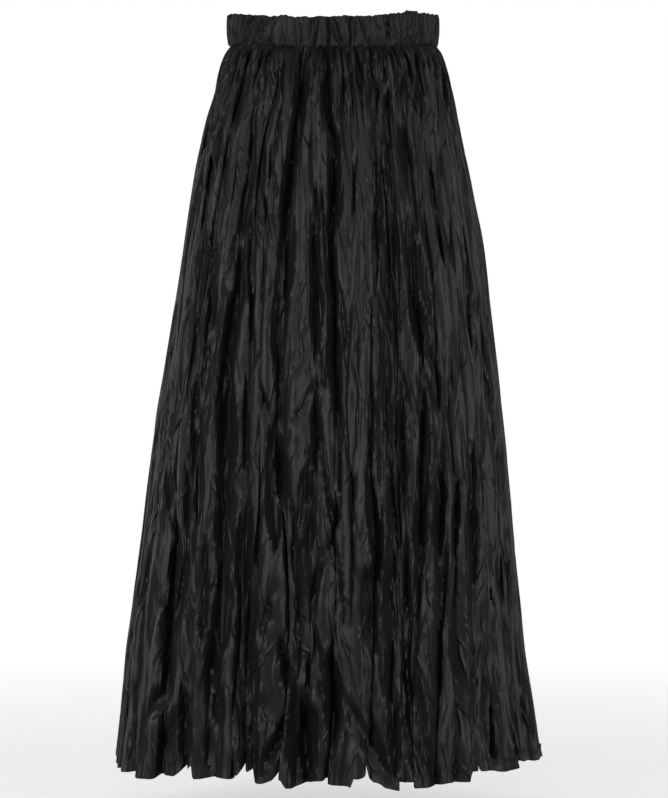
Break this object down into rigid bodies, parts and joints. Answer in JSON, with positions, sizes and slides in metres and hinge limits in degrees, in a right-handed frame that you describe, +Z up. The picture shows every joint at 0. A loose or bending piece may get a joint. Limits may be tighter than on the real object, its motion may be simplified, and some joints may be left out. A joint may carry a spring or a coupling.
{
  "type": "maxi skirt",
  "caption": "Long near-black satin skirt with a gathered elastic waistband and loose irregular folds down to an uneven hem, standing open as worn.",
  "frame": {"origin": "centre of the waistband, halfway up its sides, where the wearer's waist holds the skirt", "axes": "+Z up out of the waist, -Y to the front, +X to the wearer's left"},
  "size_m": [0.536, 0.445, 0.9381],
  "materials": {
    "satin": "crinkled satin, soft broad sheen",
    "casing": "satin gathered over elastic"
  },
  "bodies": {
    "root": {"waistband": "casing", "front_panel": "satin", "back_panel": "satin"}
  },
  "joints": []
}
